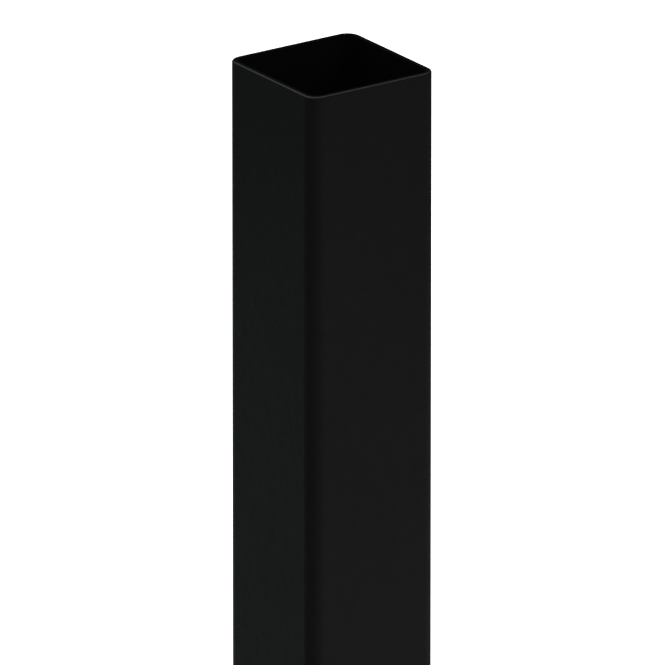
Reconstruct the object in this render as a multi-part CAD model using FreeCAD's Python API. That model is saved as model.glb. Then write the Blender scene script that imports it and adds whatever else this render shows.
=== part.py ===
"""Square metal fence post: one length of roll-formed, seam-welded steel tube, open at both ends.

Frame: +Z runs up the post, the origin is the centre of its foot end, and -Y is its front face.
All sizes are in millimetres.
"""

import FreeCAD, Part
import math
import os

# Driving dimensions
POST_LENGTH = 1800.0        # foot end to top end
SIDE = 50.0                 # outside, across the flats
WALL = 2.0                  # thickness of the rolled strip
BEND_RADIUS = 3.0           # inside of each rolled corner
OUTER_EDGE_RADIUS = 0.6     # outside edge of a cut end, deburred
INNER_EDGE_RADIUS = 0.25    # inside edge of a cut end
BEAD_HEIGHT = 0.5           # how far the weld bead stands off the inside of the back wall
BEAD_CROWN_RADIUS = 1.2     # rounded top of the bead
BEAD_TOE_RADIUS = 0.6       # hollow where the bead runs out into the wall

# Worked out from the driving dimensions
CORNER_RADIUS = BEND_RADIUS + WALL      # the strip keeps its thickness round a bend
BORE_SIDE = SIDE - 2 * WALL             # inside, across the flats

FLATNESS = 1e-4                         # a face no taller than this lies square to the post


def turned(spot, quarter_turns):
    """The spot after that many quarter turns about the post's axis."""
    return FreeCAD.Rotation(FreeCAD.Vector(0, 0, 1), 90 * quarter_turns).multVec(spot)


def flat(side, radius, quarter_turns):
    """The straight of one wall of a rounded square: the back wall, before it is turned."""
    reach = side / 2 - radius
    ends = [FreeCAD.Vector(reach, side / 2, 0), FreeCAD.Vector(-reach, side / 2, 0)]
    return Part.LineSegment(*[turned(end, quarter_turns) for end in ends]).toShape()


def corner(side, radius, quarter_turns):
    """The arc of one corner of a rounded square: between the right and back walls, before it is turned."""
    centre = FreeCAD.Vector(side / 2 - radius, side / 2 - radius, 0)
    spots = []
    for angle in (0, math.pi / 4, math.pi / 2):
        spoke = FreeCAD.Vector(math.cos(angle), math.sin(angle), 0) * radius
        spots.append(turned(centre + spoke, quarter_turns))
    return Part.Arc(*spots).toShape()


def beaded_flat(side, radius):
    """The inside of the back wall, with the weld bead standing off it into the bore.

    The crown is an arc on the middle of the wall, and each toe is a hollow arc tangent to crown and wall.
    """
    reach = side / 2 - radius
    wall = side / 2
    centre_gap = BEAD_CROWN_RADIUS + BEAD_TOE_RADIUS
    toe_x = math.sqrt(centre_gap**2 - (centre_gap - BEAD_HEIGHT)**2)
    crown_top = FreeCAD.Vector(0, wall - BEAD_HEIGHT, 0)
    crown_centre = crown_top + FreeCAD.Vector(0, BEAD_CROWN_RADIUS, 0)
    edges = []
    crown_ends = []
    for way in (1, -1):
        toe_centre = FreeCAD.Vector(way * toe_x, wall - BEAD_TOE_RADIUS, 0)
        to_wall = FreeCAD.Vector(0, BEAD_TOE_RADIUS, 0)
        to_crown = (crown_centre - toe_centre).normalize() * BEAD_TOE_RADIUS
        to_middle = (to_wall + to_crown).normalize() * BEAD_TOE_RADIUS
        toe_end = toe_centre + to_wall
        crown_end = toe_centre + to_crown
        edges.append(Part.LineSegment(FreeCAD.Vector(way * reach, wall, 0), toe_end).toShape())
        edges.append(Part.Arc(toe_end, toe_centre + to_middle, crown_end).toShape())
        crown_ends.append(crown_end)
    edges.append(Part.Arc(crown_ends[0], crown_top, crown_ends[1]).toShape())
    return edges


def prism(edges):
    """A solid the length of the post, on the closed outline that the edges make."""
    outline = Part.Wire(Part.sortEdges(edges)[0])
    return Part.Face(outline).extrude(FreeCAD.Vector(0, 0, POST_LENGTH))


def bar():
    """The outside of the tube as a solid bar."""
    flats = [flat(SIDE, CORNER_RADIUS, quarter) for quarter in range(4)]
    corners = [corner(SIDE, CORNER_RADIUS, quarter) for quarter in range(4)]
    return prism(flats + corners)


def bore():
    """The space inside the tube: three plain walls, and the back one with the weld bead."""
    flats = [flat(BORE_SIDE, BEND_RADIUS, quarter) for quarter in range(1, 4)]
    corners = [corner(BORE_SIDE, BEND_RADIUS, quarter) for quarter in range(4)]
    return prism(beaded_flat(BORE_SIDE, BEND_RADIUS) + flats + corners)


def end_edges(tube, round_bore):
    """The edges of both cut ends, either those round the bore or those round the outside."""
    rings = [face for face in tube.Faces if face.BoundBox.ZLength < FLATNESS]
    edges = []
    for ring in rings:
        for wire in ring.Wires:
            if wire.isSame(ring.OuterWire) != round_bore:
                edges.extend(wire.Edges)
    return edges


def post():
    """The finished post: the tube cut to length, with its cut ends deburred."""
    tube = bar().cut(bore())
    tube = tube.makeFillet(OUTER_EDGE_RADIUS, end_edges(tube, round_bore=False))
    return tube.makeFillet(INNER_EDGE_RADIUS, end_edges(tube, round_bore=True))


def main():
    """Builds the post and writes it to the parts folder."""
    os.makedirs("parts", exist_ok=True)
    shape = post()
    shape.exportStep("parts/post.step")
    box = shape.optimalBoundingBox()
    print("post:", len(shape.Solids), "solid,", "valid" if shape.isValid() else "not valid")
    print("size:", round(box.XLength, 3), round(box.YLength, 3), round(box.ZLength, 3), "mm")
    print("volume:", round(shape.Volume, 1), "mm3 with", len(shape.Faces), "faces")


main()
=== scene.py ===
"""Looks of a square metal fence post: black powder-coated steel tube, open at both ends.

Sizes are in metres, in the part's own frame: +Z runs up the post, the origin is the centre of its
foot end, and -Y is its front face.
"""

import logging
import math
from collections.abc import Callable
from dataclasses import dataclass, field
from enum import Enum

import bmesh
import bpy
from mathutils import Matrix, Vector


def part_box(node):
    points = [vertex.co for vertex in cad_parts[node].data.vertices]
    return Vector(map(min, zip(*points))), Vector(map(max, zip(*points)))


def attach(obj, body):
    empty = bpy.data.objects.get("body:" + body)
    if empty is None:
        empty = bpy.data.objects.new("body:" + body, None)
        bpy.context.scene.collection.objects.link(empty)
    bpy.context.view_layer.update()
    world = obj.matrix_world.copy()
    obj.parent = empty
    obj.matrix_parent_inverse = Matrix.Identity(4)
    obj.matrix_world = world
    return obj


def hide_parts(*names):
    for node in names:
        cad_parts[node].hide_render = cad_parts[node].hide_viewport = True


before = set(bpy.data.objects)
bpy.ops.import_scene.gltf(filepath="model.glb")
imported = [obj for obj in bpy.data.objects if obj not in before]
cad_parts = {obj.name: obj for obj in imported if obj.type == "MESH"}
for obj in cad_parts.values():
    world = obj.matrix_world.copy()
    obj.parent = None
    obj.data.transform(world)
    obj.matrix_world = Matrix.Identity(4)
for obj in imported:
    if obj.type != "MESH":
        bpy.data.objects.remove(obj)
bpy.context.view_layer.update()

POST_NODE = "post"
NEAR = 1e-6                             # a spot this close to a line or a plane lies on it
SQUARE = 0.9                            # least part of a normal along an axis that its face is square to
NOISE_SPAN = (0.25, 0.75)               # where nearly all of a noise texture's values lie
BAND_PITCH = math.pi / 5                # pitch of a wave texture's bands at a scale of 1
MIX_SHARE, MIX_LOW, MIX_HIGH = 0, 6, 7  # a Mix node's inputs for two colours
MIX_RESULT = 2                          # its output for them
FULL_WHITE = 1.0                        # strength at which white light shows as plain white
WHITE = (1.0, 1.0, 1.0, 1.0)
BLACK = (0.0, 0.0, 0.0, 1.0)
LOG = logging.getLogger("fence_post")

Colour = tuple[float, float, float]


class Region(Enum):
    """A part of the tube's surface that takes a finish of its own."""

    OUTSIDE = 0
    CUT_END = 1
    BORE = 2


class Bearing(Enum):
    """Where each of the two faces in view mirrors the studio, in degrees round from the front."""

    OF_FRONT_FACE = 34.5
    OF_LEFT_FACE = 214.5


def outward(turn: float, rise: float = 0.0) -> Vector:
    """Gives the direction in which a place lies, seen from the post.

    Args:
        turn: Azimuth of the place, in degrees from the front.
        rise: Its height above the horizon, in degrees.

    Returns:
        The direction, with a length of one.
    """
    azimuth = math.radians(turn)
    elevation = math.radians(rise)
    level = math.cos(elevation)
    return Vector((math.sin(azimuth) * level, -math.cos(azimuth) * level, math.sin(elevation)))


def facing_post(turn: float, rise: float) -> tuple[float, float, float]:
    """Gives the rotation of a camera or a lamp that looks at the post from a place round it.

    Args:
        turn: Azimuth of the place, in degrees from the front.
        rise: Its height above the horizon, in degrees.

    Returns:
        The rotation about X, Y and Z.
    """
    return (math.radians(90.0 - rise), 0.0, math.radians(turn))


# Benches: a mesh in edit mode, and a material's nodes


@dataclass
class Workpiece:
    """A mesh on the bench, shaped in edit mode by operators on what is picked by its place.

    Attributes:
        thing: The mesh object.
    """

    thing: bpy.types.Object

    @classmethod
    def block(cls, name: str, low: Vector, high: Vector) -> "Workpiece":
        """Adds a block that fills a box, and opens it for editing.

        Args:
            name: The object's name.
            low: The box's lowest corner.
            high: The box's highest corner.

        Returns:
            The workpiece, in edit mode.
        """
        bpy.ops.object.select_all(action="DESELECT")
        bpy.ops.mesh.primitive_cube_add(size=1.0, location=(low + high) / 2, scale=high - low)
        return cls.picked_up(name)

    @classmethod
    def drum(cls, name: str, radius: float, height: float, sides: int) -> "Workpiece":
        """Adds a closed drum that stands on the floor, and opens it for editing.

        Args:
            name: The object's name.
            radius: The drum's radius.
            height: Its height.
            sides: How many flat sides it has.

        Returns:
            The workpiece, in edit mode.
        """
        bpy.ops.object.select_all(action="DESELECT")
        bpy.ops.mesh.primitive_cylinder_add(vertices=sides, radius=radius, depth=height,
                                            location=(0, 0, height / 2), end_fill_type="NGON")
        return cls.picked_up(name)

    @classmethod
    def picked_up(cls, name: str) -> "Workpiece":
        """Names the object just added, fixes its place in its mesh and opens it for editing.

        Args:
            name: The object's name.

        Returns:
            The workpiece, in edit mode.
        """
        thing = bpy.context.active_object
        thing.name = name
        thing.data.name = name
        bpy.ops.object.transform_apply(location=True, rotation=True, scale=True)
        bpy.ops.object.mode_set(mode="EDIT")
        return cls(thing)

    def pick_edges(self, test: Callable[[Vector, Vector], bool]) -> None:
        """Selects only the edges whose two ends pass a test.

        Args:
            test: Takes an edge's two ends.
        """
        bpy.ops.mesh.select_mode(type="EDGE")
        bpy.ops.mesh.select_all(action="DESELECT")
        mesh = bmesh.from_edit_mesh(self.thing.data)
        for edge in mesh.edges:
            if test(edge.verts[0].co, edge.verts[1].co):
                edge.select_set(True)
        bmesh.update_edit_mesh(self.thing.data)

    def pick_faces(self, test: Callable[[Vector, Vector], bool]) -> None:
        """Selects only the faces whose middle and normal pass a test.

        Args:
            test: Takes a face's middle and its normal.
        """
        bpy.ops.mesh.select_mode(type="FACE")
        bpy.ops.mesh.select_all(action="DESELECT")
        mesh = bmesh.from_edit_mesh(self.thing.data)
        for face in mesh.faces:
            if test(face.calc_center_median(), face.normal):
                face.select_set(True)
        bmesh.update_edit_mesh(self.thing.data)

    def put_down(self) -> bpy.types.Object:
        """Lists the faces by their place, because bevels leave them in no set order, and leaves edit mode.

        Returns:
            The mesh object.
        """
        mesh = bmesh.from_edit_mesh(self.thing.data)
        by_place = sorted(mesh.faces, key=lambda face: tuple(face.calc_center_median()))
        for index, face in enumerate(by_place):
            face.index = index
        mesh.faces.sort()
        bmesh.update_edit_mesh(self.thing.data)
        bpy.ops.object.mode_set(mode="OBJECT")
        return self.thing


@dataclass
class NodeBench:
    """The nodes of a material or a world in the making.

    Attributes:
        tree: The node tree.
    """

    tree: bpy.types.NodeTree

    @classmethod
    def for_material(cls, name: str) -> tuple["NodeBench", bpy.types.Material]:
        """Makes a new material with nodes.

        Args:
            name: The material's name.

        Returns:
            The bench and the material.
        """
        material = bpy.data.materials.new(name)
        material.use_nodes = True
        return cls(material.node_tree), material

    @property
    def shader(self) -> bpy.types.Node:
        """The surface's own shader."""
        return self.tree.nodes["Principled BSDF"]

    def node(self, kind: str, **settings: object) -> bpy.types.Node:
        """Adds a node.

        Args:
            kind: The node's type.
            settings: Its own settings, such as an operation.

        Returns:
            The node.
        """
        made = self.tree.nodes.new(kind)
        for name, value in settings.items():
            setattr(made, name, value)
        return made

    def feed(self, node: bpy.types.Node, **values: object) -> bpy.types.Node:
        """Gives a node's inputs their values or links.

        Args:
            node: The node.
            values: A number, colour or socket for each input, with _ for a space in its name.

        Returns:
            The same node.
        """
        for name, value in values.items():
            socket = node.inputs[name.replace("_", " ")]
            if isinstance(value, bpy.types.NodeSocket):
                self.tree.links.new(value, socket)
            else:
                socket.default_value = value
        return node

    def place(self) -> bpy.types.NodeSocket:
        """The spot on the object, in metres."""
        return self.node("ShaderNodeTexCoord").outputs["Object"]

    def stretched(self, spot: bpy.types.NodeSocket, along: float) -> bpy.types.NodeSocket:
        """Stretches a pattern along the post.

        Args:
            spot: The spot on the object.
            along: How many times longer the pattern grows along Z.

        Returns:
            The spot to read the pattern at.
        """
        node = self.node("ShaderNodeVectorMath", operation="MULTIPLY")
        self.tree.links.new(spot, node.inputs[0])
        node.inputs[1].default_value = (1.0, 1.0, 1.0 / along)
        return node.outputs["Vector"]

    def noise(self, spot: bpy.types.NodeSocket, pitch: float, detail: float = 2.0) -> bpy.types.NodeSocket:
        """Adds soft noise that runs over most of 0 to 1.

        Args:
            spot: Where it is read.
            pitch: Distance from one swell to the next.
            detail: How many finer layers it has.

        Returns:
            The noise.
        """
        texture = self.feed(self.node("ShaderNodeTexNoise"), Vector=spot, Scale=1.0 / pitch, Detail=detail)
        return self.ramp(texture.outputs["Fac"], NOISE_SPAN, (0.0, 1.0))

    def ramp(self, value: bpy.types.NodeSocket, span: tuple[float, float], to: tuple[float, float],
             smooth: bool = False) -> bpy.types.NodeSocket:
        """Maps a span of a value to another span.

        Args:
            value: The value.
            span: Its two ends.
            to: What they become.
            smooth: Whether it eases in and out.

        Returns:
            The mapped value.
        """
        kind = "SMOOTHSTEP" if smooth else "LINEAR"
        node = self.node("ShaderNodeMapRange", interpolation_type=kind)
        self.feed(node, Value=value, From_Min=span[0], From_Max=span[1], To_Min=to[0], To_Max=to[1])
        return node.outputs["Result"]

    def combine(self, first: bpy.types.NodeSocket, second: bpy.types.NodeSocket | float,
                operation: str = "ADD") -> bpy.types.NodeSocket:
        """Adds two numbers, or joins them by another operation.

        Args:
            first: The first number.
            second: The second one.
            operation: What is done with them.

        Returns:
            The result.
        """
        node = self.node("ShaderNodeMath", operation=operation)
        self.tree.links.new(first, node.inputs[0])
        if isinstance(second, bpy.types.NodeSocket):
            self.tree.links.new(second, node.inputs[1])
        else:
            node.inputs[1].default_value = second
        return node.outputs["Value"]

    def blend(self, share: bpy.types.NodeSocket, low: Colour, high: Colour) -> bpy.types.NodeSocket:
        """Blends two colours.

        Args:
            share: 0 for the first colour, 1 for the second.
            low: The first colour.
            high: The second colour.

        Returns:
            The colour.
        """
        node = self.node("ShaderNodeMix", data_type="RGBA")
        self.tree.links.new(share, node.inputs[MIX_SHARE])
        node.inputs[MIX_LOW].default_value = (*low, 1.0)
        node.inputs[MIX_HIGH].default_value = (*high, 1.0)
        return node.outputs[MIX_RESULT]

    def lit(self, under: bpy.types.NodeSocket | Colour, tint: Colour, level: bpy.types.NodeSocket
            ) -> bpy.types.NodeSocket:
        """Adds tinted light to what is already there.

        Args:
            under: The light already there.
            tint: Colour of the added light.
            level: How much of it is added.

        Returns:
            The light in all.
        """
        node = self.node("ShaderNodeVectorMath", operation="MULTIPLY_ADD")
        node.inputs[0].default_value = tint
        self.tree.links.new(level, node.inputs[1])
        if isinstance(under, bpy.types.NodeSocket):
            self.tree.links.new(under, node.inputs[2])
        else:
            node.inputs[2].default_value = under
        return node.outputs["Vector"]

    def relief(self, layers: list[tuple[bpy.types.NodeSocket, float]]) -> bpy.types.NodeSocket:
        """Lays relief on the surface, one layer over another.

        Args:
            layers: A pattern from 0 to 1 and its height, for each of one or more layers.

        Returns:
            The normal.
        """
        normal = None
        for pattern, height in layers:
            bump = self.feed(self.node("ShaderNodeBump"), Height=pattern, Distance=height, Strength=1.0)
            if normal is not None:
                self.tree.links.new(normal, bump.inputs["Normal"])
            normal = bump.outputs["Normal"]
        return normal

    def seen_white(self) -> bpy.types.NodeSocket:
        """Tells the rays that show the background: those of the camera, of gloss and through glass.

        Returns:
            1 for those rays, and 0 for the rest.
        """
        ray = self.node("ShaderNodeLightPath").outputs
        gloss = self.combine(ray["Is Camera Ray"], ray["Is Glossy Ray"], "MAXIMUM")
        return self.combine(gloss, ray["Is Transmission Ray"], "MAXIMUM")


# Finishes


@dataclass(frozen=True)
class SatinCoat:
    """Satin black powder coat, with the faint orange peel that it cures with.

    Attributes:
        thin: Colour where the film is thin.
        full: Colour where it is full.
        roughness: Roughness of the cured film, from its glossiest patches to its dullest.
        specular: Specular level of the film.
        cloud_pitch: Size of the patches where the film lies thicker.
        mottle_pitch: Size of the fine mottle.
        peel_pitch: Distance from one swell of the orange peel to the next.
        peel_height: Height of the swells.
        grain_pitch: Size of the powder's grain.
        grain_height: Height of the grain.
        roll_pitch: Distance between the strip's rolling lines, which show through.
        roll_stretch: How many times longer than wide the lines are.
        roll_height: Height of the lines.
    """

    thin: Colour = (0.0034, 0.0037, 0.0036)
    full: Colour = (0.0044, 0.0048, 0.0047)
    roughness: tuple[float, float] = (0.34, 0.47)
    specular: float = 0.3
    cloud_pitch: float = 0.08
    mottle_pitch: float = 0.004
    peel_pitch: float = 0.0024
    peel_height: float = 0.000027
    grain_pitch: float = 0.0006
    grain_height: float = 0.000007
    roll_pitch: float = 0.0018
    roll_stretch: float = 300.0
    roll_height: float = 0.000003

    def material(self) -> bpy.types.Material:
        """Makes the material.

        Returns:
            The material, on object coordinates.
        """
        bench, coat = NodeBench.for_material("satin_black_coat")
        spot = bench.place()
        clouds = bench.noise(spot, self.cloud_pitch, detail=3.0)
        mottle = bench.noise(spot, self.mottle_pitch)
        film = bench.ramp(bench.combine(clouds, mottle), (0.0, 2.0), (0.0, 1.0))  # the mean of the two
        rolled = bench.noise(bench.stretched(spot, self.roll_stretch), self.roll_pitch)
        bench.feed(
            bench.shader,
            Base_Color=bench.blend(film, self.thin, self.full),
            Roughness=bench.ramp(film, (0.0, 1.0), (self.roughness[1], self.roughness[0])),
            Specular_IOR_Level=self.specular,
            Normal=bench.relief([
                (rolled, self.roll_height),
                (bench.noise(spot, self.peel_pitch, detail=1.0), self.peel_height),
                (bench.noise(spot, self.grain_pitch, detail=1.0), self.grain_height),
            ]),
        )
        return coat


@dataclass(frozen=True)
class SawnEnd:
    """The sawn end under a thin, dry film, in which the saw's marks still show.

    Its colours are also painted shade: far darker than the coat, so that the end's top ring renders black.

    Attributes:
        dark: Colour in the marks, near black by painted shade.
        pale: Colour between them, near black by painted shade.
        roughness: Roughness of the film.
        specular: Specular level of the film.
        mark_pitch: Distance from one saw mark to the next.
        mark_waver: How far the marks stray from a straight line.
        waver_detail: How many finer layers their straying has.
        mark_height: Depth of the marks.
        fleck_pitch: Size of the flecks where the film is thin.
        wear: Sums of mark and fleck from which the film starts to thin, and at which it is thinnest.
    """

    # painted shade: both colours are far darker than the coat, standing in for the shade on the end's top
    # ring
    dark: Colour = (0.0009, 0.0009, 0.0009)
    pale: Colour = (0.0018, 0.0019, 0.0019)
    roughness: tuple[float, float] = (0.66, 0.8)
    specular: float = 0.04
    mark_pitch: float = 0.0006
    mark_waver: float = 1.5
    waver_detail: float = 2.0
    mark_height: float = 0.000012
    fleck_pitch: float = 0.0012
    wear: tuple[float, float] = (0.4, 1.6)

    def material(self) -> bpy.types.Material:
        """Makes the material.

        Returns:
            The material, on object coordinates.
        """
        bench, film = NodeBench.for_material("sawn_end_film_and_painted_shade")
        spot = bench.place()
        bands = bench.feed(
            bench.node("ShaderNodeTexWave", bands_direction="DIAGONAL"),
            Vector=spot,
            Scale=BAND_PITCH / self.mark_pitch,
            Distortion=self.mark_waver,
            Detail=self.waver_detail,
        )
        marks = bands.outputs["Fac"]
        flecks = bench.noise(spot, self.fleck_pitch)
        worn = bench.ramp(bench.combine(marks, flecks), self.wear, (0.0, 1.0))
        bench.feed(
            bench.shader,
            Base_Color=bench.blend(worn, self.dark, self.pale),
            Roughness=bench.ramp(worn, (0.0, 1.0), self.roughness),
            Specular_IOR_Level=self.specular,
            Normal=bench.relief([(marks, self.mark_height)]),
        )
        return film


@dataclass(frozen=True)
class BoreFilm:
    """The inside of the tube: dull overspray at the mouths, thinning to the scale deeper in.

    Both colours are painted shade as well: near black, far darker than real overspray or scale.

    Attributes:
        overspray: Colour at the mouths, near black by painted shade.
        scale: Colour of the steel's scale deeper in, near black by painted shade.
        fade: Distance from an end over which the overspray thins out.
        roughness: Roughness, from the driest patches to the smoothest.
        specular: Specular level.
        speck_pitch: Size of the specks of dry powder.
        speck_height: Height of the specks.
        speck_share: How much the specks add to the colour's change along the bore.
        drag_pitch: Distance between the drag lines of the rolls.
        drag_stretch: How many times longer than wide the lines are.
        drag_height: Height of the lines.
    """

    # painted shade: these colours are near black so that the bore renders black, darker than the real film
    overspray: Colour = (0.0024, 0.0024, 0.0025)
    scale: Colour = (0.0034, 0.0035, 0.0037)
    fade: tuple[float, float] = (0.03, 0.25)
    roughness: tuple[float, float] = (0.62, 0.82)
    specular: float = 0.01
    speck_pitch: float = 0.0005
    speck_height: float = 0.000015
    speck_share: float = 0.25
    drag_pitch: float = 0.0011
    drag_stretch: float = 200.0
    drag_height: float = 0.00000375

    def material(self, length: float) -> bpy.types.Material:
        """Makes the material.

        Args:
            length: The tube's length.

        Returns:
            The material, on object coordinates.
        """
        bench, film = NodeBench.for_material("bore_overspray_and_painted_shade")
        spot = bench.place()
        height = bench.feed(bench.node("ShaderNodeSeparateXYZ"), Vector=spot).outputs["Z"]
        off_middle = bench.combine(bench.combine(height, length / 2, "SUBTRACT"), 0.0, "ABSOLUTE")
        ends = (length / 2 - self.fade[1], length / 2 - self.fade[0])
        bare = bench.ramp(off_middle, ends, (1.0, 0.0), smooth=True)
        specks = bench.noise(spot, self.speck_pitch)
        drag = bench.noise(bench.stretched(spot, self.drag_stretch), self.drag_pitch)
        patchy = bench.combine(bare, bench.combine(specks, self.speck_share, "MULTIPLY"))
        patchy = bench.ramp(patchy, (0.0, 1.0 + self.speck_share), (0.0, 1.0))
        bench.feed(
            bench.shader,
            Base_Color=bench.blend(patchy, self.overspray, self.scale),
            Roughness=bench.ramp(specks, (0.0, 1.0), self.roughness),
            Specular_IOR_Level=self.specular,
            Normal=bench.relief([(drag, self.drag_height), (specks, self.speck_height)]),
        )
        return film


# The post


@dataclass
class FencePost:
    """The post: a rolled square tube with a weld bead inside and deburred ends.

    Attributes:
        low: Lowest corner of the post's box.
        high: Highest corner of the post's box.
        wall: Thickness of the rolled strip.
        bend_radius: Inside radius of each rolled corner.
        bend_steps: Steps round each corner.
        outer_edge_radius: Outside edge of a cut end.
        outer_edge_steps: Steps round it.
        inner_edge_radius: Inside edge of a cut end.
        inner_edge_steps: Steps round it.
        bead_height: How far the weld bead stands off the back wall.
        bead_crown_radius: Rounded top of the bead.
        bead_toe_radius: Hollow where the bead runs out into the wall.
        crown_lines: Where the crown's lines lie, from the middle line at 0 to its shoulder at 1.
        toe_lines: Where the toe's lines lie, from the crown's shoulder at 0 to the wall at 1.
        row_length: Length of one row of faces along the post.
        round_up_to: Steepest turn between two faces that is shaded round, in degrees.
        coat: Finish of the outside.
        end_film: Finish of the cut ends, with painted shade in its colour.
        bore_film: Finish of the bore, with painted shade in its colour.
    """

    low: Vector
    high: Vector
    wall: float = 0.002
    bend_radius: float = 0.003
    bend_steps: int = 16
    outer_edge_radius: float = 0.0006
    outer_edge_steps: int = 5
    inner_edge_radius: float = 0.00025
    inner_edge_steps: int = 3
    bead_height: float = 0.0005
    bead_crown_radius: float = 0.0012
    bead_toe_radius: float = 0.0006
    crown_lines: tuple[float, ...] = (0.0, 0.35, 0.7, 1.0)
    toe_lines: tuple[float, ...] = (0.4, 1.0)
    row_length: float = 0.012
    round_up_to: float = 40.0
    coat: SatinCoat = field(default_factory=SatinCoat)
    end_film: SawnEnd = field(default_factory=SawnEnd)
    bore_film: BoreFilm = field(default_factory=BoreFilm)

    @property
    def length(self) -> float:
        """From the foot end to the top end."""
        return self.high.z - self.low.z

    @property
    def side(self) -> float:
        """Outside size across the flats."""
        return self.high.x - self.low.x

    @property
    def corner_radius(self) -> float:
        """Outside radius of each rolled corner."""
        return self.bend_radius + self.wall

    @property
    def back_inside(self) -> float:
        """Y of the inside of the back wall."""
        return self.high.y - self.wall

    @property
    def bead_half_width(self) -> float:
        """Half the width of the weld bead on the wall."""
        gap = self.bead_crown_radius + self.bead_toe_radius
        return math.sqrt(gap**2 - (gap - self.bead_height)**2)

    @property
    def bead_shoulder(self) -> float:
        """Distance from the bead's middle line to where its crown meets its toe."""
        return self.bead_half_width * self.bead_crown_radius / (self.bead_crown_radius + self.bead_toe_radius)

    def bead_rise(self, x: float) -> float:
        """How far the bead stands off the wall.

        Args:
            x: Distance from the bead's middle line, either way.

        Returns:
            The rise, zero beyond the toes.
        """
        across = abs(x)
        if across <= self.bead_shoulder:
            crown_centre = self.bead_height - self.bead_crown_radius
            return crown_centre + math.sqrt(self.bead_crown_radius**2 - across**2)
        if across < self.bead_half_width:
            to_wall = self.bead_half_width - across
            return self.bead_toe_radius - math.sqrt(self.bead_toe_radius**2 - to_wall**2)
        return 0.0

    def depth(self, spot: Vector) -> float:
        """How far a spot lies inside the tube's outside surface.

        Args:
            spot: A point of the section.

        Returns:
            The distance, zero on the surface.
        """
        straight = self.side / 2 - self.corner_radius
        past_x = max(abs(spot.x) - straight, 0.0)
        past_y = max(abs(spot.y) - straight, 0.0)
        return self.corner_radius - math.hypot(past_x, past_y)

    def at_end(self, spot: Vector) -> bool:
        """Whether a spot lies on either end plane."""
        return min(abs(spot.z - self.low.z), abs(spot.z - self.high.z)) < NEAR

    def near_outside(self, spot: Vector) -> bool:
        """Whether a spot lies in the outer quarter of the wall's thickness."""
        return self.depth(spot) < self.wall / 4

    def near_bore(self, spot: Vector) -> bool:
        """Whether a spot lies in the inner fifth of the wall's thickness."""
        return self.depth(spot) > self.wall * 4 / 5

    def build(self) -> bpy.types.Object:
        """Models the tube and dresses it.

        Returns:
            The finished object, at the origin.
        """
        piece = Workpiece.block("fence_post_tube", self.low, self.high)
        self.roll_corners(piece)
        self.open_bore(piece)
        self.raise_bead(piece)
        self.divide_length(piece)
        self.deburr_ends(piece)
        self.finish_surfaces(piece)
        tube = piece.put_down()
        self.smooth(tube)
        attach(tube, "root")
        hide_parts(POST_NODE)
        return tube

    def roll_corners(self, piece: Workpiece) -> None:
        """Rounds the four upright edges of the block.

        Args:
            piece: The block, in edit mode.
        """
        piece.pick_edges(lambda a, b: abs(a.z - b.z) > self.length / 2)
        bpy.ops.mesh.bevel(offset=self.corner_radius, offset_type="OFFSET", segments=self.bend_steps,
                           profile=0.5, affect="EDGES")

    def open_bore(self, piece: Workpiece) -> None:
        """Insets both ends by the wall and joins the two holes into the bore.

        Args:
            piece: The bar with its corners rolled, in edit mode.
        """
        piece.pick_faces(lambda middle, normal: abs(normal.z) > SQUARE)
        bpy.ops.mesh.inset(thickness=self.wall, use_even_offset=True)
        bpy.ops.mesh.bridge_edge_loops()

    def raise_bead(self, piece: Workpiece) -> None:
        """Cuts the inside of the back wall into strips and lifts them to the bead's section.

        Args:
            piece: The tube, in edit mode.
        """
        toe = self.bead_half_width - self.bead_shoulder
        half = [self.bead_shoulder * share for share in self.crown_lines]
        half += [self.bead_shoulder + toe * share for share in self.toe_lines]
        lines = sorted({-x for x in half} | set(half))
        for x in lines:
            piece.pick_faces(lambda middle, normal: normal.y < -SQUARE and middle.y > self.back_inside - NEAR)
            bpy.ops.mesh.bisect(plane_co=(x, 0, 0), plane_no=(1, 0, 0))
        for x in lines:
            on_line = Vector((x, self.back_inside))
            piece.pick_edges(lambda a, b: max((a.xy - on_line).length, (b.xy - on_line).length) < NEAR)
            bpy.ops.transform.translate(value=(0, -self.bead_rise(x), 0))

    def divide_length(self, piece: Workpiece) -> None:
        """Divides the walls into rows along the post.

        Args:
            piece: The tube, in edit mode.
        """
        rows = round(self.length / self.row_length)
        spans = round(math.sqrt(rows))
        piece.pick_edges(lambda a, b: abs(a.z - b.z) > self.length / 2)
        bpy.ops.mesh.subdivide(number_cuts=spans - 1)
        piece.pick_edges(lambda a, b: abs(a.z - b.z) > self.length / spans / 2)
        bpy.ops.mesh.subdivide(number_cuts=round(rows / spans) - 1)

    def deburr_ends(self, piece: Workpiece) -> None:
        """Rounds the outside and inside edges of both cut ends.

        Args:
            piece: The tube, in edit mode.
        """
        rounds = (
            (self.outer_edge_radius, self.outer_edge_steps, self.near_outside),
            (self.inner_edge_radius, self.inner_edge_steps, self.near_bore),
        )
        for radius, steps, on_edge in rounds:
            piece.pick_edges(lambda a, b: all(self.at_end(spot) and on_edge(spot) for spot in (a, b)))
            bpy.ops.mesh.bevel(offset=radius, offset_type="OFFSET", segments=steps,
                               profile=0.5, affect="EDGES")
        bpy.ops.mesh.select_all(action="SELECT")
        bpy.ops.mesh.normals_make_consistent(inside=False)

    def finish_surfaces(self, piece: Workpiece) -> None:
        """Gives the outside, the cut ends and the bore their finishes; those of the ends and the bore hold
        painted shade.

        Args:
            piece: The tube, in edit mode.
        """
        finishes = {
            Region.OUTSIDE: self.coat.material(),
            Region.CUT_END: self.end_film.material(),
            Region.BORE: self.bore_film.material(self.length),
        }
        picks = {
            Region.CUT_END: lambda middle, normal: self.at_end(middle),
            Region.BORE: lambda middle, normal: self.near_bore(middle) and not self.at_end(middle),
        }
        for region in Region:
            piece.thing.data.materials.append(finishes[region])
        for region, pick in picks.items():
            piece.pick_faces(pick)
            piece.thing.active_material_index = region.value
            bpy.ops.object.material_slot_assign()

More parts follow.
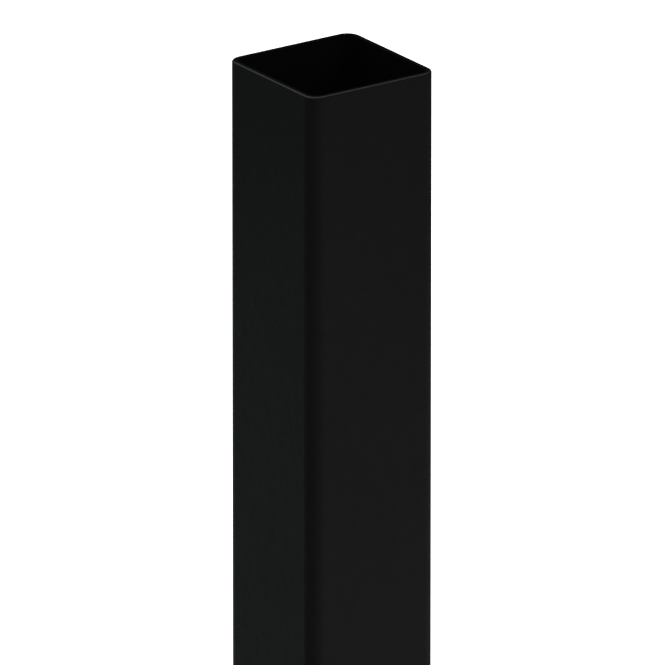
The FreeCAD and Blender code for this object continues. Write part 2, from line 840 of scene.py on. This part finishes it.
    def smooth(self, tube: bpy.types.Object) -> None:
        """Shades the bends round and keeps the flats flat.

        Args:
            tube: The finished mesh object.
        """
        bpy.ops.object.select_all(action="DESELECT")
        tube.select_set(True)
        bpy.context.view_layer.objects.active = tube
        bpy.ops.object.shade_smooth_by_angle(angle=math.radians(self.round_up_to))
        bpy.ops.object.modifier_add(type="WEIGHTED_NORMAL")
        weighting = tube.modifiers[-1]
        weighting.keep_sharp = True
        bpy.ops.object.modifier_apply(modifier=weighting.name)


# Camera and studio


@dataclass
class PhotoCamera:
    """The camera at the photograph's angle: far off, aimed at a spot below the post's top.

    Attributes:
        top: Centre of the post's top end.
        azimuth: Turn round the post from the front, in degrees.
        elevation: Height above the horizon, in degrees.
        distance: From the spot that it looks at.
        sensor: Width of its sensor, in millimetres.
        lens: Its focal length, in millimetres.
        drop: How far the spot lies below the top's centre, in the picture's plane.
        aside: How far it lies to the right of it, in the picture's plane.
        sight: How far it sees.
    """

    top: Vector
    azimuth: float = -34.54
    elevation: float = 19.69
    distance: float = 7.0
    sensor: float = 36.0
    lens: float = 1153.7
    drop: float = 0.08788
    aside: float = 0.00026
    sight: float = 200.0

    def place(self) -> bpy.types.Object:
        """Makes the camera and gives it to the scene.

        Returns:
            The camera object.
        """
        back = outward(self.azimuth, self.elevation)
        right = outward(self.azimuth + 90.0)
        aim = self.top + right * self.aside - back.cross(right) * self.drop
        bpy.ops.object.camera_add(location=aim + back * self.distance,
                                  rotation=facing_post(self.azimuth, self.elevation))
        camera = bpy.context.active_object
        camera.name = "photo_camera"
        camera.data.sensor_width = self.sensor
        camera.data.lens = self.lens
        camera.data.clip_end = self.sight
        bpy.context.scene.camera = camera
        return camera


@dataclass
class Floor:
    """A pale floor, shown by the light where the post stands and white to the eye further off.

    Attributes:
        reach: Half the floor's size.
        paint: Its colour.
        lit: Distance from the post up to which only light shows it.
        white: Distance beyond which it shows white.
    """

    reach: float = 60.0
    paint: Colour = (0.8, 0.8, 0.8)
    lit: float = 0.4
    white: float = 2.6

    def lay(self) -> bpy.types.Object:
        """Lays the floor.

        Returns:
            The floor.
        """
        bpy.ops.object.select_all(action="DESELECT")
        bpy.ops.mesh.primitive_plane_add(size=2 * self.reach)
        floor = bpy.context.active_object
        floor.name = "pale_floor"
        bench, paint = NodeBench.for_material("pale_floor_paint")
        paint.cycles.emission_sampling = "NONE"
        away = bench.node("ShaderNodeVectorMath", operation="LENGTH")
        bench.tree.links.new(bench.place(), away.inputs[0])
        glow = bench.ramp(away.outputs["Value"], (self.lit, self.white), (0.0, FULL_WHITE), smooth=True)
        bench.feed(
            bench.shader,
            Base_Color=(*self.paint, 1.0),
            Specular_IOR_Level=0.0,
            Emission_Color=WHITE,
            Emission_Strength=bench.combine(glow, bench.seen_white(), "MULTIPLY"),
        )
        floor.data.materials.append(paint)
        return floor


@dataclass
class Surroundings:
    """Even light from all round, with a white background.

    Attributes:
        light: Strength of the light that falls on the post from all round.
    """

    light: float = 0.8

    def hang(self) -> None:
        """Makes the world."""
        world = bpy.data.worlds.new("white_surroundings")
        bpy.context.scene.world = world
        world.use_nodes = True
        world.cycles.sampling_method = "NONE"
        bench = NodeBench(world.node_tree)
        strength = bench.ramp(bench.seen_white(), (0.0, 1.0), (self.light, FULL_WHITE))
        bench.feed(world.node_tree.nodes["Background"], Color=WHITE, Strength=strength)


@dataclass(frozen=True)
class GlowPatch:
    """A patch of the screen's paper that glows by itself, with no lamp lighting it, and fades out round the
    drum: a painted reflection for one face in view.

    Attributes:
        turn: Azimuth of its middle, in degrees from the front.
        level: Brightness of its middle.
        narrow: How quickly it fades: 1 reaches right round, and higher powers less far.
        tint: Colour of its glow, which tints the painted reflection.
    """

    turn: float
    level: float
    narrow: float
    tint: Colour = (1.0, 1.0, 1.0)


@dataclass
class GlareScreen:
    """A dark paper drum round the post, open at the top, that keeps the white floor out of its gloss.

    Only reflections show it. It is no lamp and no lamp lights it: its paper glows by itself, brighter where
    the faces in view mirror it and dimmer above a set height, which paints the reflections and sheen on the
    coat. Its rim is cut on a slant, highest beside the front face.

    Attributes:
        radius: The drum's radius.
        sides: How many flat sides the drum has.
        rim: Height of its rim where it is highest, and where it is lowest.
        rim_turn: Azimuth where the rim is highest, in degrees from the front.
        trim: How much taller the drum is before its rim is cut.
        dark: Colour of the paper's own glow away from the glowing patches.
        patches: The glowing patches, one for each face in view, which paint its reflection.
        edge: Heights between which the paper's glow falls off.
        above: Share of the brightness that is left above.
    """

    radius: float = 0.7
    sides: int = 96
    rim: tuple[float, float] = (2.53, 2.04)
    rim_turn: float = 60.0
    trim: float = 0.1
    dark: Colour = (0.07, 0.07, 0.07)
    patches: tuple[GlowPatch, ...] = (
        GlowPatch(turn=Bearing.OF_FRONT_FACE.value, level=0.235, narrow=3.0),
        # painted reflection: a green-blue glow, which shows as a cool sheen on the left face
        GlowPatch(turn=190.0, level=0.182, narrow=12.0, tint=(0.7, 1.0, 0.86)),
    )
    edge: tuple[float, float] = (1.44, 1.56)
    above: float = 0.22

    def stand(self) -> bpy.types.Object:
        """Models the drum and papers it.

        Returns:
            The drum.
        """
        highest, lowest = self.rim
        piece = Workpiece.drum("glare_screen", self.radius, highest + self.trim, self.sides)
        slope = (highest - lowest) / 2 / self.radius
        across = Vector((0, 0, 1)) - outward(self.rim_turn) * slope
        bpy.ops.mesh.bisect(plane_co=(0, 0, (highest + lowest) / 2), plane_no=across, clear_outer=True)
        drum = piece.put_down()
        drum.data.materials.append(self.paper())
        drum.visible_camera = False
        drum.visible_diffuse = False
        drum.visible_transmission = False
        drum.visible_volume_scatter = False
        drum.visible_shadow = False
        return drum

    def glow(self, bench: NodeBench, spot: bpy.types.NodeSocket, patch: GlowPatch) -> bpy.types.NodeSocket:
        """Adds the nodes of one glowing patch.

        Args:
            bench: The paper's nodes.
            spot: The spot on the drum.
            patch: The patch.

        Returns:
            Its brightness at the spot.
        """
        toward = bench.node("ShaderNodeVectorMath", operation="DOT_PRODUCT")
        bench.tree.links.new(spot, toward.inputs[0])
        toward.inputs[1].default_value = outward(patch.turn) / self.radius
        nearness = bench.ramp(toward.outputs["Value"], (-1.0, 1.0), (0.0, 1.0))
        return bench.combine(bench.combine(nearness, patch.narrow, "POWER"), patch.level, "MULTIPLY")

    def paper(self) -> bpy.types.Material:
        """Makes the graded paper, whose glow paints the coat's reflections.

        Returns:
            The material, on object coordinates.
        """
        bench, paper = NodeBench.for_material("glowing_paper_painting_reflections")
        paper.cycles.emission_sampling = "NONE"
        spot = bench.place()
        height = bench.feed(bench.node("ShaderNodeSeparateXYZ"), Vector=spot).outputs["Z"]
        light = self.dark
        for patch in self.patches:
            light = bench.lit(light, patch.tint, self.glow(bench, spot, patch))
        # painted reflection: the paper's colour is light it gives off itself, seen only in the coat's gloss
        bench.feed(
            bench.shader,
            Base_Color=BLACK,
            Specular_IOR_Level=0.0,
            Emission_Color=light,
            Emission_Strength=bench.ramp(height, self.edge, (1.0, self.above), smooth=True),
        )
        return paper


@dataclass
class Softbox:
    """A large, soft, square lamp aimed at the post, and kept out of its gloss.

    Attributes:
        name: The lamp's name.
        aim: The spot that it faces.
        turn: Azimuth that it hangs at, in degrees from the front.
        power: Its power, in watts.
        rise: Its height above the horizon, seen from the aim, in degrees.
        distance: From the aim.
        size: Length of its side.
    """

    name: str
    aim: Vector
    turn: float
    power: float
    rise: float = 50.0
    distance: float = 2.4
    size: float = 1.8

    def hang(self) -> bpy.types.Object:
        """Hangs the lamp.

        Returns:
            The lamp object.
        """
        bpy.ops.object.light_add(type="AREA", rotation=facing_post(self.turn, self.rise),
                                 location=self.aim + outward(self.turn, self.rise) * self.distance)
        lamp = bpy.context.active_object
        lamp.name = self.name
        lamp.data.shape = "SQUARE"
        lamp.data.size = self.size
        lamp.data.energy = self.power
        lamp.visible_camera = False
        lamp.visible_glossy = False
        return lamp


@dataclass
class Studio:
    """The plain white studio that the post stands in.

    Attributes:
        top: Centre of the post's top end.
    """

    top: Vector

    def set_up(self) -> None:
        """Lays the floor, stands the screen and hangs the light."""
        floor = Floor().lay()
        LOG.info("%s laid", floor.name)
        screen = GlareScreen().stand()
        LOG.info("%s stood round the post", screen.name)
        Surroundings().hang()
        key = Softbox("key_softbox", self.top, Bearing.OF_FRONT_FACE.value, power=24.0)
        fill = Softbox("fill_softbox", self.top, Bearing.OF_LEFT_FACE.value, power=6.0)
        for lamp in (key.hang(), fill.hang()):
            LOG.info("%s hung", lamp.name)


def main() -> None:
    """Builds the post, the studio and the camera, in that order."""
    logging.basicConfig(level=logging.INFO, format="%(name)s: %(message)s")
    bpy.context.scene.view_settings.view_transform = "Standard"
    low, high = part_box(POST_NODE)
    top = Vector((0, 0, high.z))
    tube = FencePost(low, high).build()
    LOG.info("%s: %d faces", tube.name, len(tube.data.polygons))
    Studio(top).set_up()
    camera = PhotoCamera(top).place()
    LOG.info("%s placed", camera.name)


if __name__ == "__main__":
    main()
